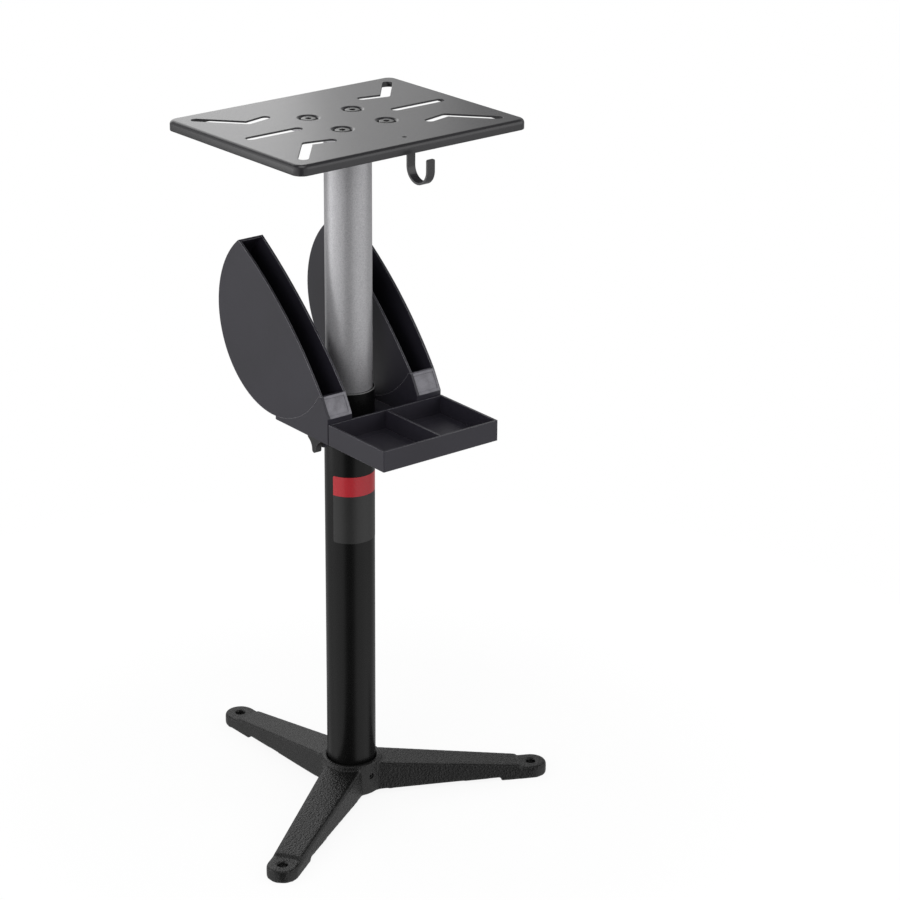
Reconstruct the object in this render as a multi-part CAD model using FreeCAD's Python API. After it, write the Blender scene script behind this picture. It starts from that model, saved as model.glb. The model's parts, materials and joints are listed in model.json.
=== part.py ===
import FreeCAD, Part
import math
import os

from FreeCAD import Placement, Rotation, Vector

# Bench grinder pedestal: three-legged cast base, telescoping round column,
# slotted top plate, and a moulded tray group with two wheel pockets.
# Millimetres. Z is up from the floor, the column axis is X = Y = 0,
# and the operator stands on the -Y side.

# ---- column ----
stand_height = 815.0          # floor to the top face of the plate
lower_tube_r = 28.5
lower_tube_wall = 1.5
lower_tube_bottom = 9.5
lower_tube_top = 507.0
upper_tube_r = 26.3
upper_tube_wall = 2.0
upper_tube_bottom = 320.0
running_gap = 0.06            # radial play of the telescoping fit
guide_height = 30.0
guide_flange = 1.2
swage_height = 18.0

# ---- cast base ----
base_turn = 1.5               # the base sits a little off square on the round tube
leg_count = 3
first_leg = -150.0 + base_turn
hub_r = 35.5
hub_bottom = 5.5
hub_top = 45.5
hub_edge = 1.6
hub_ledge_r = 24.0            # the tube stands on the ledge round this hole
hub_play = 0.1
foot_hole_circle_r = 217.6
foot_hole_r = 5.5
foot_half_width = 18.4
foot_top = 14.5
foot_edge = 1.8
foot_start = 178.0            # where the solid foot begins along a leg
leg_end = 202.5               # where the leg steps down to the foot
leg_wall = 5.0
leg_root_u, leg_tip_u = 40.0, 195.0
leg_top_z = (38.8, 18.4)      # at the root and at the tip
leg_top_w = (22.6, 17.4)      # half widths under the rounded top edges
leg_low_z = (6.0, 4.0)
leg_draft = 0.04              # side draft of the casting
leg_edge_r = 3.0
set_screw_angle = 64.0        # from each leg, round the hub
set_screw_z = 27.5
set_screw_r = 3.0
set_screw_length = 4.2
set_screw_socket = (3.0, 2.2)   # across flats and depth

# ---- top plate ----
plate_length = 310.0
plate_depth = 240.0
plate_t = 2.0
plate_rim = 11.5
plate_corner_r = 12.0
plate_bend_r = 3.0
slot_w = 11.0
straight_slot = (67.0, 128.5)                       # end centres along X, on Y = 0
dogleg_slot = ((66.5, 59.0), (94.0, 53.0), (131.5, 96.0))   # inner end, bend, outer end
screw_pitch = 60.0
dish_r = 12.0                 # pressed dishes for the screw heads, which sit on the flange
dish_floor_r = 10.2
dish_depth = 4.6
screw_head_r = 9.2
screw_head_t = 2.4
plate_screw_r = 5.0
plate_screw_length = 22.0
plate_screw_socket = 6.0
flange_size = 96.0
flange_t = 6.0
flange_corner_r = 10.0
nut_across_flats = 17.0
nut_t = 8.0

# ---- tool hook ----
hook_x = 2.0
hook_w = 10.0
hook_t = 2.6
hook_hole_y = -95.5
hook_tab_back = -86.0
hook_back_y = -105.0          # rear face of the hanging arm
hook_bend_r = 2.0
hook_end_r = 1.8
hook_inner_r = 15.0
hook_centre_z = 787.2
hook_tip_z = 800.0
hook_screw_r = 2.2
hook_screw_head_r = 5.0
hook_screw_head_t = 2.6

# ---- tray group, in its own frame before it is turned ----
tray_turn = -1.5              # the tray group sits a little off square too
group_half_width = 78.0
shelf_z = 476.0
shelf_t = 2.5
shelf_front = -66.5
shelf_back = 32.5
wall = 2.5
cradle_width = 33.0
pad_low = (-66.5, 505.5)      # Y, Z of the sloping pad's lower edge
pad_high = (-54.5, 527.5)
pad_border = 3.0
pad_recess = 0.8
pocket_y = 37.5               # centre of the round wheel pocket
pocket_z = 584.3
pocket_r = 104.5
pocket_rim_angles = (53.3, 216.0)   # the band's upper and lower ends
pocket_tip = (-54.5, 527.6)   # Y, Z where the side walls' rims come down on the ledge
outer_rim_bow = 11.4
inner_rim_bow = 7.6
seat_gap = 0.1
collar_wall = 4.5
collar_drop = 30.0
rib_angles = (40, 140, -40, -140)
rib_reach = 46.0
rib_drop = 20.0
rib_t = 2.2
rear_lip = 5.0
cradle_back_wall = 4.0
boss_r = 9.0
boss_face = 38.0              # distance from the column axis
tray_front = -168.0
tray_back = -67.5
tray_bottom = 476.5
tray_top = 500.0
tray_step = 1.0
tray_step_inset = 12.0
tray_boss_r = 5.0
tray_screw_x = 30.0
tray_screw_z = 489.0
tray_screw_length = 5.2
tap_screw_r = 1.6
tap_head_r = 3.4
tap_head_t = 1.8
front_wall_top = 497.0
pocket_screw_y = (2.0, -38.0)
pocket_screw_depth = 8.8
lug_side = 10.0
ledge_t = 6.0

# ---- lock knob ----
knob_z = 452.0
knob_stud_r = 3.0
knob_tip_r = 27.4             # the stud's tip, drawn back into the wall of the lower tube
knob_hub_face = 38.4
knob_lobe_t = 8.0
knob_end = 49.4
knob_lobe_reach = 13.0
knob_lobe_tip_r = 3.4
knob_neck_r = 5.2
lock_nut_flats = 10.0
lock_nut_t = 4.6

plate_under = stand_height - plate_t
flange_top = plate_under - dish_depth
flange_under = flange_top - flange_t
z_axis = Vector(0, 0, 1)


def box(x0, x1, y0, y1, z0, z1):
    return Part.makeBox(x1 - x0, y1 - y0, z1 - z0, Vector(x0, y0, z0))


def rod(r, start, end):
    start, end = Vector(*start), Vector(*end)
    return Part.makeCylinder(r, start.distanceToPoint(end), start, end - start)


def cone(r0, r1, start, end):
    start, end = Vector(*start), Vector(*end)
    return Part.makeCone(r0, r1, start.distanceToPoint(end), start, end - start)


def tube(r_out, r_in, z0, z1):
    return rod(r_out, (0, 0, z0), (0, 0, z1)).cut(rod(r_in, (0, 0, z0 - 1), (0, 0, z1 + 1)))


def turned(shape, degrees):
    copy = shape.copy()
    copy.rotate(Vector(0, 0, 0), z_axis, degrees)
    return copy


def fused(shapes):
    return shapes[0].fuse(shapes[1:]).removeSplitter()


def bowed_arc(a, b, bow):
    """Arc from a to b in a Y-Z plane, standing off their chord by bow on its right side."""
    chord = b - a
    side = Vector(0, chord.z, -chord.y).normalize()
    return Part.Arc(a, (a + b) * 0.5 + side * bow, b).toShape()


def hexagon(across_flats, start, direction, thickness):
    r = across_flats / math.sqrt(3)
    spin = Rotation(z_axis, Vector(*direction))
    corners = [Vector(r * math.cos(math.radians(a)), r * math.sin(math.radians(a)), 0)
               for a in range(0, 361, 60)]
    face = Part.Face(Part.makePolygon(corners))
    prism = face.extrude(z_axis * thickness)
    prism.Placement = Placement(Vector(*start), spin)
    return prism


def slot_prism(a, b, width, z0, z1):
    """Round-ended slot between two centres, as a vertical prism."""
    a, b = Vector(a[0], a[1], z0), Vector(b[0], b[1], z0)
    r = width / 2
    along = (b - a).normalize()
    side = Vector(-along.y, along.x, 0) * r
    edges = [Part.makeLine(a + side, b + side),
             Part.Arc(b + side, b + along * r, b - side).toShape(),
             Part.makeLine(b - side, a - side),
             Part.Arc(a - side, a - along * r, a + side).toShape()]
    return Part.Face(Part.Wire(edges)).extrude(z_axis * (z1 - z0))


def rounded_block(length, depth, z0, z1, corner_r):
    block = box(-length / 2, length / 2, -depth / 2, depth / 2, z0, z1)
    upright = [e for e in block.Edges if abs(e.tangentAt(e.FirstParameter).z) > 0.99]
    return block.makeFillet(corner_r, upright)


def flat_taper(start, end):
    """Flat-faced solid between two sections with matching corners."""
    rings = [start + start[:1], end + end[:1]]
    for i in range(len(start)):
        rings.append([rings[0][i], rings[0][i + 1], rings[1][i + 1], rings[1][i], rings[0][i]])
    faces = [Part.Face(Part.makePolygon(ring)) for ring in rings]
    return Part.makeSolid(Part.makeShell(faces))


def save(name, shape):
    if not shape.isValid() or shape.Volume < 1:
        raise ValueError("bad shape: " + name)
    shape.exportStep("parts/" + name + ".step")
    print("%-18s %2d solid(s) %9.2f cm3" % (name, len(shape.Solids), shape.Volume / 1000))


# ---------------------------------------------------------------- cast base

def leg_value(pair, u):
    share = (u - leg_root_u) / (leg_tip_u - leg_root_u)
    return pair[0] + (pair[1] - pair[0]) * share


def leg_section(u, inset, low):
    """Corners of the trapezium across a leg at distance u from the column axis."""
    top = leg_value(leg_top_z, u) - inset
    high_w = leg_value(leg_top_w, u) - inset
    low_w = high_w + leg_draft * (top - low)
    return [Vector(u, -low_w, low), Vector(u, -high_w, top), Vector(u, high_w, top), Vector(u, low_w, low)]


def leg():
    """Tapering leg with rounded top edges, an open channel below."""
    body = flat_taper(*[leg_section(u, 0, leg_value(leg_low_z, u)) for u in (10, leg_end)])
    ridges = [e for e in body.Edges if e.BoundBox.XLength > 100 and e.BoundBox.ZMin > foot_top]
    body = body.makeFillet(leg_edge_r, ridges)
    return body.cut(flat_taper(*[leg_section(u, leg_wall, 0) for u in (hub_r + 1, foot_start)]))


def foot():
    """Solid foot with a round nose and a bevelled top edge."""
    half = foot_half_width
    c = foot_hole_circle_r
    edges = [Part.makeLine(Vector(foot_start, -half, 0), Vector(c, -half, 0)),
             Part.Arc(Vector(c, -half, 0), Vector(c + half, 0, 0), Vector(c, half, 0)).toShape(),
             Part.makeLine(Vector(c, half, 0), Vector(foot_start, half, 0)),
             Part.makeLine(Vector(foot_start, half, 0), Vector(foot_start, -half, 0))]
    block = Part.Face(Part.Wire(edges)).extrude(z_axis * foot_top)
    rim = [e for e in block.Edges
           if abs(e.BoundBox.ZMin - foot_top) < 1e-6 and e.BoundBox.XMax > foot_start + 1]
    return block.makeChamfer(foot_edge, rim)


def base_casting():
    hub = rod(hub_r, (0, 0, hub_bottom), (0, 0, hub_top))
    crown = [e for e in hub.Edges if abs(e.BoundBox.ZMin - hub_top) < 1e-6]
    pieces = [hub.makeChamfer(hub_edge, crown)]
    for k in range(leg_count):
        pieces.append(turned(leg().fuse(foot()), first_leg + 360 / leg_count * k))
    casting = fused(pieces)
    cutters = [rod(lower_tube_r + hub_play, (0, 0, lower_tube_bottom), (0, 0, hub_top + 1)),
               rod(hub_ledge_r, (0, 0, 0), (0, 0, hub_top))]
    for k in range(leg_count):
        angle = first_leg + 360 / leg_count * k
        cutters.append(turned(rod(foot_hole_r, (foot_hole_circle_r, 0, -1),
                                  (foot_hole_circle_r, 0, foot_top + 1)), angle))
        cutters.append(turned(rod(set_screw_r, (lower_tube_r - 1, 0, set_screw_z),
                                  (hub_r + 2, 0, set_screw_z)), angle + set_screw_angle))
    return casting.cut(cutters)


def base_set_screws():
    """Cup-point grub screws that grip the tube in the hub."""
    screws = []
    start = lower_tube_r + 0.06
    end = start + set_screw_length
    for k in range(leg_count):
        screw = rod(set_screw_r - 0.05, (start, 0, set_screw_z), (end, 0, set_screw_z))
        socket = hexagon(set_screw_socket[0], (end - set_screw_socket[1], 0, set_screw_z), (1, 0, 0), 3)
        screws.append(turned(screw.cut(socket), first_leg + 360 / leg_count * k + set_screw_angle))
    return Part.makeCompound(screws)


# ------------------------------------------------------------------- column

def lower_tube():
    body = tube(lower_tube_r, lower_tube_r - lower_tube_wall, lower_tube_bottom, lower_tube_top)
    hole = rod(knob_stud_r + 0.5, (-lower_tube_r - 2, 0, knob_z), (-lower_tube_r + 3, 0, knob_z))
    return body.cut(turned(hole, tray_turn))


def top_guide():
    """Flanged nylon sleeve pressed into the mouth of the lower tube."""
    bore = upper_tube_r + running_gap
    sleeve = tube(lower_tube_r - lower_tube_wall, bore, lower_tube_top - guide_height, lower_tube_top)
    flange = tube(lower_tube_r, bore, lower_tube_top, lower_tube_top + guide_flange)
    return fused([sleeve, flange])


def upper_tube():
    """Inner tube, its foot swaged out to run in the lower tube."""
    r_in = upper_tube_r - upper_tube_wall
    body = tube(upper_tube_r, r_in, upper_tube_bottom, flange_under)
    swage_r = lower_tube_r - lower_tube_wall - running_gap
    return fused([body, tube(swage_r, r_in, upper_tube_bottom, upper_tube_bottom + swage_height)])


def screw_spots():
    half = screw_pitch / 2
    return [(sx * half, sy * half) for sx in (-1, 1) for sy in (-1, 1)]


def mounting_flange():
    """Square plate welded on the column's head."""
    plate = rounded_block(flange_size, flange_size, flange_under, flange_top, flange_corner_r)
    cutters = [rod(upper_tube_r - upper_tube_wall, (0, 0, flange_under - 1), (0, 0, stand_height))]
    for x, y in screw_spots():
        cutters.append(rod(plate_screw_r + 0.4, (x, y, flange_under - 1), (x, y, stand_height)))
    return plate.cut(cutters)


def flange_nuts():
    nuts = []
    for x, y in screw_spots():
        nut = hexagon(nut_across_flats, (x, y, flange_under - nut_t), (0, 0, 1), nut_t)
        nuts.append(nut.cut(rod(plate_screw_r + 0.02, (x, y, 700), (x, y, stand_height))))
    return Part.makeCompound(nuts)


# ---------------------------------------------------------------- top plate

def top_plate():
    """Pressed sheet with a turned-down rim, grinder slots and dishes for the screws."""
    low = stand_height - plate_rim
    shell = rounded_block(plate_length, plate_depth, low, stand_height, plate_corner_r)
    edge = [e for e in shell.Edges if abs(e.BoundBox.ZMin - stand_height) < 1e-6]
    shell = shell.makeFillet(plate_bend_r, edge)
    shell = shell.cut(rounded_block(plate_length - 2 * plate_t, plate_depth - 2 * plate_t,
                                    low - 1, plate_under, plate_corner_r - plate_t))
    for x, y in screw_spots():
        shell = shell.fuse(rod(dish_r + plate_t / 2, (x, y, flange_top), (x, y, plate_under + 1)))
    cutters = []
    for x, y in screw_spots():
        cutters.append(cone(dish_r, dish_floor_r, (x, y, stand_height), (x, y, stand_height - dish_depth)))
        cutters.append(rod(plate_screw_r + 0.4, (x, y, flange_top - 1), (x, y, stand_height)))
    z0, z1 = low - 5, stand_height + 5
    for sx in (-1, 1):
        inner, outer = straight_slot
        cutters.append(slot_prism((sx * inner, 0), (sx * outer, 0), slot_w, z0, z1))
        for sy in (-1, 1):
            ends = [(sx * x, sy * y) for x, y in dogleg_slot]
            cutters.append(slot_prism(ends[0], ends[1], slot_w, z0, z1))
            cutters.append(slot_prism(ends[1], ends[2], slot_w, z0, z1))
    cutters.append(rod(hook_screw_r + 0.1, (hook_x, hook_hole_y, z0), (hook_x, hook_hole_y, z1)))
    return shell.cut(cutters).removeSplitter()


def plate_screws():
    """Low-head socket screws that stand in the dishes."""
    seat = stand_height - dish_depth
    screws = []
    for x, y in screw_spots():
        head = rod(screw_head_r, (x, y, seat), (x, y, seat + screw_head_t))
        shank = rod(plate_screw_r - 0.02, (x, y, seat + 0.5), (x, y, seat - plate_screw_length))
        socket = hexagon(plate_screw_socket, (x, y, seat), (0, 0, 1), screw_head_t + 1)
        screws.append(fused([head, shank]).cut(socket))
    return Part.makeCompound(screws)


def tool_hook():
    """Flat strap: a drilled tab under the plate, then a J that opens to the front."""
    x0, x1 = hook_x - hook_w / 2, hook_x + hook_w / 2
    under = plate_under
    bend_y, bend_z = hook_back_y + hook_bend_r, under - hook_t - hook_bend_r
    centre_y = hook_back_y - hook_t - hook_inner_r
    outer_r = hook_inner_r + hook_t

    def ring(y, z, r_in, r_out, y_side, z_side):
        """Part of a ring on the x-axis direction, kept where the two signs point."""
        full = rod(r_out, (x0, y, z), (x1, y, z)).cut(rod(r_in, (x0 - 1, y, z), (x1 + 1, y, z)))
        y_range = (y, y + r_out * y_side) if y_side else (y - r_out, y + r_out)
        z_range = (z, z + r_out * z_side)
        return full.common(box(x0 - 1, x1 + 1, min(y_range), max(y_range), min(z_range), max(z_range)))

    tab = box(x0, x1, bend_y, hook_tab_back, under - hook_t, under)
    corner = ring(bend_y, bend_z, hook_bend_r, hook_bend_r + hook_t, -1, 1)
    back_arm = box(x0, x1, hook_back_y - hook_t, hook_back_y, hook_centre_z, bend_z)
    bowl = ring(centre_y, hook_centre_z, hook_inner_r, outer_r, 0, -1)
    free_arm = box(x0, x1, centre_y - outer_r, centre_y - hook_inner_r, hook_centre_z, hook_tip_z)
    strap = fused([tab, corner, back_arm, bowl, free_arm])
    tip = [e for e in strap.Edges if e.BoundBox.YMax < centre_y and e.BoundBox.ZMin > hook_tip_z - 0.01
           and e.BoundBox.XLength < 0.01]
    ends = [e for e in strap.Edges if e.BoundBox.YMin > hook_tab_back - 0.01 and e.BoundBox.XLength < 0.01]
    strap = strap.makeFillet(hook_end_r, tip + ends)
    hole = rod(hook_screw_r + 0.1, (hook_x, hook_hole_y, under - 5), (hook_x, hook_hole_y, under + 1))
    return strap.cut(hole)


def hook_screw():
    """Tapping screw, driven up through the hook's tab."""
    seat = plate_under - hook_t
    r, t = hook_screw_head_r, hook_screw_head_t
    head = rod(r, (hook_x, hook_hole_y, seat), (hook_x, hook_hole_y, seat - t))
    shank = rod(hook_screw_r, (hook_x, hook_hole_y, seat - 0.5), (hook_x, hook_hole_y, stand_height - 1.0))
    cross = [box(hook_x - a, hook_x + a, hook_hole_y - b, hook_hole_y + b, seat - t - 1, seat - t + 1.2)
             for a, b in ((2.0, 0.4), (0.4, 2.0))]
    return fused([head, shank]).cut(cross)


# --------------------------------------------------------------- tray group

def pocket_point(angle, r=pocket_r, x=0.0):
    a = math.radians(angle)
    return Vector(x, pocket_y + r * math.cos(a), pocket_z + r * math.sin(a))


def on_circle(z, x, r=pocket_r):
    """Point at height z on the lower front part of a circle about the pocket's centre."""
    return Vector(x, pocket_y - math.sqrt(r ** 2 - (z - pocket_z) ** 2), z)


def pocket_side(x, bow):
    """D-shaped side wall, its front rim bowed out past the chord and its foot flat on the ledge."""
    high, tip = pocket_point(pocket_rim_angles[0], x=x), Vector(x, *pocket_tip)
    low = on_circle(pocket_tip[1], x)
    back = Part.Arc(low, pocket_point(-45, x=x), high).toShape()
    face = Part.Face(Part.Wire([back, bowed_arc(high, tip, bow), Part.makeLine(tip, low)]))
    return face.extrude(Vector(wall, 0, 0))


def pocket_screw_line(y):
    """Start and end of a pocket screw, up through the shelf into the pocket's lug."""
    x = group_half_width - cradle_width + wall + seat_gap + lug_side / 2
    return (x, y, shelf_z), (x, y, shelf_z + pocket_screw_depth)


def pocket(side):
    """Hollow half-round wheel pocket, made on the right and mirrored for the left."""
    x_in, x_out = group_half_width - cradle_width, group_half_width
    start, end = pocket_rim_angles
    outer = pocket_side(x_out - wall, outer_rim_bow)
    inner = pocket_side(x_in, inner_rim_bow)
    centre = Vector(x_in, pocket_y, pocket_z)
    drum = Part.makeCylinder(pocket_r, cradle_width, centre, Vector(1, 0, 0))
    drum = drum.cut(Part.makeCylinder(pocket_r - wall, cradle_width + 2, centre - Vector(1, 0, 0),
                                      Vector(1, 0, 0)))
    keep_face = Part.Face(Part.makePolygon([
        pocket_point(start, 0, x_in - 1), pocket_point(start, 200, x_in - 1),
        pocket_point(start - 60, 300, x_in - 1), pocket_point(start - 120, 300, x_in - 1),
        pocket_point(end + 60, 300, x_in - 1), pocket_point(end, 200, x_in - 1),
        pocket_point(start, 0, x_in - 1)]))
    band = drum.common(keep_face.extrude(Vector(cradle_width + 2, 0, 0)))
    shell = fused([outer, inner, band])
    lug_x = x_in + wall + seat_gap
    for y in pocket_screw_y:
        lug = box(lug_x, lug_x + lug_side, y - lug_side / 2, y + lug_side / 2,
                  shelf_z + shelf_t + 0.2, pocket_z)
        lug = lug.cut(Part.makeCylinder(pocket_r - 1, cradle_width, centre, Vector(1, 0, 0)))
        shell = shell.fuse(lug.cut(rod(tap_screw_r, *pocket_screw_line(y))))
    shell = shell.removeSplitter()
    return shell if side > 0 else shell.mirror(Vector(0, 0, 0), Vector(1, 0, 0))


def cradle():
    """Hollow post and side webs that carry one pocket, with the sloping pad in front."""
    x_in, x_out = group_half_width - cradle_width, group_half_width
    top = shelf_z + shelf_t
    seat_r = pocket_r + seat_gap

    def outline(x, front, low, high, back, seat):
        ledge = on_circle(high[1], x, seat)
        tail = Vector(x, back, pocket_z - math.sqrt(seat ** 2 - (back - pocket_y) ** 2))
        angle = (math.atan2(ledge.z - pocket_z, ledge.y - pocket_y)
                 + math.atan2(tail.z - pocket_z, tail.y - pocket_y)) / 2
        middle = pocket_point(math.degrees(angle), seat, x)
        if middle.z > pocket_z:
            middle = pocket_point(math.degrees(angle) + 180, seat, x)
        corners = [tail, Vector(x, back, top), Vector(x, front, top),
                   Vector(x, *low), Vector(x, *high), ledge]
        edges = [Part.makeLine(a, b) for a, b in zip(corners, corners[1:])]
        edges.append(Part.Arc(ledge, middle, tail).toShape())
        return Part.Face(Part.Wire(edges))

    side_face = outline(x_in, shelf_front, pad_low, pad_high, shelf_back, seat_r)
    block = side_face.extrude(Vector(cradle_width, 0, 0))
    y0, y1, lip = shelf_front + wall, shelf_back - cradle_back_wall, pad_high[1] - ledge_t
    room = [(y0, top), (y0, pad_low[1] - 0.7), (pad_high[0], lip), (y1, lip), (y1, top), (y0, top)]
    hollow = Part.Face(Part.makePolygon([Vector(x_in + wall, y, z) for y, z in room]))
    block = block.cut(hollow.extrude(Vector(cradle_width - 2 * wall, 0, 0)))
    slope = Vector(0, pad_high[0] - pad_low[0], pad_high[1] - pad_low[1])
    length = slope.Length
    panel = Part.makeBox(cradle_width - 2 * pad_border, length - 2 * pad_border, 2 * pad_recess,
                         Vector(pad_border, pad_border, -pad_recess))
    tilt = math.degrees(math.atan2(slope.z, slope.y))
    panel.Placement = Placement(Vector(x_in, *pad_low), Rotation(Vector(1, 0, 0), tilt))
    return block.cut(panel)


def tray_bracket():
    """Moulded shelf round the column with its cradles, collar, ribs and knob boss."""
    top = shelf_z + shelf_t
    half = group_half_width
    shelf = box(-half, half, shelf_front, shelf_back, shelf_z, top)
    low = shelf_z - collar_drop
    collar_r = lower_tube_r + 0.05 + collar_wall
    pieces = [shelf, rod(collar_r, (0, 0, low), (0, 0, top)),
              rod(boss_r, (-boss_face, 0, knob_z), (-lower_tube_r, 0, knob_z))]
    right = cradle()
    pieces += [right, right.mirror(Vector(0, 0, 0), Vector(1, 0, 0))]
    gap = half - cradle_width
    pieces.append(box(-gap, gap, shelf_front, shelf_front + wall, top, front_wall_top))
    pieces.append(box(-gap, gap, shelf_back - wall, shelf_back, top, top + rear_lip))
    root = collar_r - 1
    outline = [(root, shelf_z), (rib_reach, shelf_z), (root, shelf_z - rib_drop), (root, shelf_z)]
    rib = Part.Face(Part.makePolygon([Vector(x, -rib_t / 2, z) for x, z in outline]))
    pieces += [turned(rib.extrude(Vector(0, rib_t, 0)), angle) for angle in rib_angles]
    bracket = fused(pieces)
    cutters = [rod(lower_tube_r + 0.05, (0, 0, low - 1), (0, 0, top + 1)),
               rod(knob_stud_r + 0.4, (-boss_face - 1, 0, knob_z), (-lower_tube_r + 1, 0, knob_z)),
               hexagon(lock_nut_flats + 0.1, (-boss_face - 1, 0, knob_z), (1, 0, 0), lock_nut_t + 1)]
    for sx in (-1, 1):
        cutters.append(rod(tap_screw_r + 0.3, (sx * tray_screw_x, shelf_front - 1, tray_screw_z),
                           (sx * tray_screw_x, shelf_front + wall + 1, tray_screw_z)))
        for y in pocket_screw_y:
            x = sx * pocket_screw_line(y)[0][0]
            cutters.append(rod(tap_screw_r + 0.3, (x, y, shelf_z - 1), (x, y, top + 1)))
    return turned(bracket.cut(cutters), tray_turn)


def lock_nut():
    nut = hexagon(lock_nut_flats, (-boss_face, 0, knob_z), (1, 0, 0), lock_nut_t)
    bore = rod(knob_stud_r + 0.05, (-boss_face - 1, 0, knob_z), (-boss_face + 10, 0, knob_z))
    return turned(nut.cut(bore), tray_turn)


def pan_screw(seat, direction, length):
    """Small pan-head tapping screw; seat is under the head, direction points inwards."""
    seat, direction = Vector(*seat), Vector(*direction)
    head = Part.makeCylinder(tap_head_r, tap_head_t, seat - direction * tap_head_t, direction)
    shank = Part.makeCylinder(tap_screw_r - 0.02, length, seat - direction * 0.2, direction)
    return head.fuse(shank).removeSplitter()


def tray_screws():
    """Driven forward from behind the bracket's front wall into blind bosses of the tray."""
    y = shelf_front + wall
    screws = [pan_screw((sx * tray_screw_x, y, tray_screw_z), (0, -1, 0), tray_screw_length)
              for sx in (-1, 1)]
    return turned(Part.makeCompound(screws), tray_turn)


def pocket_screws():
    screws = []
    for y in pocket_screw_y:
        (x, y, z), end = pocket_screw_line(y)
        screws += [pan_screw((sx * x, y, z), (0, 0, 1), pocket_screw_depth - 0.1) for sx in (-1, 1)]
    return turned(Part.makeCompound(screws), tray_turn)


def parts_tray():
    """Open tray in two halves, each floor stepped up inside a plain margin."""
    half = group_half_width
    body = box(-half, half, tray_front, tray_back, tray_bottom, tray_top)
    upright = [e for e in body.Edges if abs(e.tangentAt(e.FirstParameter).z) > 0.99]
    body = body.makeFillet(1.0, upright)
    steps = []
    for sx in (-1, 1):
        x0, x1 = sorted((sx * wall / 2, sx * (half - wall)))
        y0, y1 = tray_front + wall, tray_back - wall
        body = body.cut(box(x0, x1, y0, y1, tray_bottom + wall, tray_top + 1))
        i = tray_step_inset
        steps.append(box(x0 + i, x1 - i, y0 + i, y1 - i, tray_bottom + 1, tray_bottom + wall + tray_step))
        steps.append(rod(tray_boss_r, (sx * tray_screw_x, tray_back - 0.5, tray_screw_z),
                         (sx * tray_screw_x, shelf_front, tray_screw_z)))
    body = body.fuse(steps)
    deep = shelf_front + wall - tray_screw_length
    holes = [rod(tap_screw_r, (sx * tray_screw_x, deep, tray_screw_z),
                 (sx * tray_screw_x, shelf_front + 1, tray_screw_z)) for sx in (-1, 1)]
    return turned(body.cut(holes).removeSplitter(), tray_turn)


# ---------------------------------------------------------------- lock knob

def knob_outline():
    """Three-lobed star in the Y-Z plane, one lobe pointing down."""
    centre_r = knob_lobe_reach - knob_lobe_tip_r
    turn = math.radians(60)
    reach = centre_r * math.cos(turn) + knob_lobe_tip_r * math.sin(turn)
    half_gap = centre_r * math.sin(turn) - knob_lobe_tip_r * math.cos(turn)
    waist_r = reach - half_gap * math.tan(turn / 4)
    edges = []

    def at(angle, r):
        a = math.radians(angle)
        return Vector(0, r * math.cos(a), r * math.sin(a))

    for k in range(3):
        axis = -90 + 120 * k
        centre = at(axis, centre_r)
        side = at(axis + 90, knob_lobe_tip_r)
        start, end = centre - side, centre + side
        following = at(axis + 120, centre_r) - at(axis + 210, knob_lobe_tip_r)
        edges.append(Part.Arc(start, at(axis, knob_lobe_reach), end).toShape())
        edges.append(Part.Arc(end, at(axis + 60, waist_r), following).toShape())
    return Part.Face(Part.Wire(edges))


def lock_knob():
    star = knob_outline().extrude(Vector(-knob_lobe_t, 0, 0))
    star.translate(Vector(-knob_end + knob_lobe_t, 0, knob_z))
    neck = rod(knob_neck_r, (-knob_hub_face, 0, knob_z), (-knob_end + 1.5, 0, knob_z))
    body = fused([star, neck])
    bore = rod(knob_stud_r, (-knob_hub_face + 1, 0, knob_z), (-knob_end + 3, 0, knob_z))
    return turned(body.cut(bore), tray_turn)


def knob_stud():
    return turned(rod(knob_stud_r - 0.02, (-knob_end + 3.1, 0, knob_z), (-knob_tip_r, 0, knob_z)), tray_turn)


def main():
    os.makedirs("parts", exist_ok=True)
    save("base_casting", base_casting())
    save("base_set_screws", base_set_screws())
    save("lower_tube", lower_tube())
    save("top_guide", top_guide())
    save("upper_tube", upper_tube())
    save("mounting_flange", mounting_flange())
    save("flange_nuts", flange_nuts())
    save("top_plate", top_plate())
    save("plate_screws", plate_screws())
    save("tool_hook", tool_hook())
    save("hook_screw", hook_screw())
    save("tray_bracket", tray_bracket())
    save("lock_nut", lock_nut())
    save("right_pocket", turned(pocket(1), tray_turn))
    save("left_pocket", turned(pocket(-1), tray_turn))
    save("pocket_screws", pocket_screws())
    save("parts_tray", parts_tray())
    save("tray_screws", tray_screws())
    save("lock_knob", lock_knob())
    save("knob_stud", knob_stud())


main()
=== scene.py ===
import json
import math

import bmesh
import bpy
from mathutils import Matrix, Vector


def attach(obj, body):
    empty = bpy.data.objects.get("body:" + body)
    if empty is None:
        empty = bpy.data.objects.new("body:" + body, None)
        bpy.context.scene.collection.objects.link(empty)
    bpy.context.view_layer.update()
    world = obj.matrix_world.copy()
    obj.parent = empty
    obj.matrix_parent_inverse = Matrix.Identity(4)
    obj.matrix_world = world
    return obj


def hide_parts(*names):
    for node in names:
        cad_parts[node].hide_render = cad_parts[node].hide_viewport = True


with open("model.json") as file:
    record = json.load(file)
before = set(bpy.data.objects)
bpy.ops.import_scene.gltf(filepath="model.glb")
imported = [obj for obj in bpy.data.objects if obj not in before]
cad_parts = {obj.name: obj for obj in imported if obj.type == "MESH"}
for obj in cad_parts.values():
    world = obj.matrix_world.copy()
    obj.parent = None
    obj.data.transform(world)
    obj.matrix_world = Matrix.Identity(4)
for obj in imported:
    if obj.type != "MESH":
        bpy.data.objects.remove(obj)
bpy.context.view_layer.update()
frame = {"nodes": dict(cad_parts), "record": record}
nodes = frame["nodes"]
scene = bpy.context.scene
print("frame loaded:", len(nodes), "parts")


# small helpers

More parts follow.
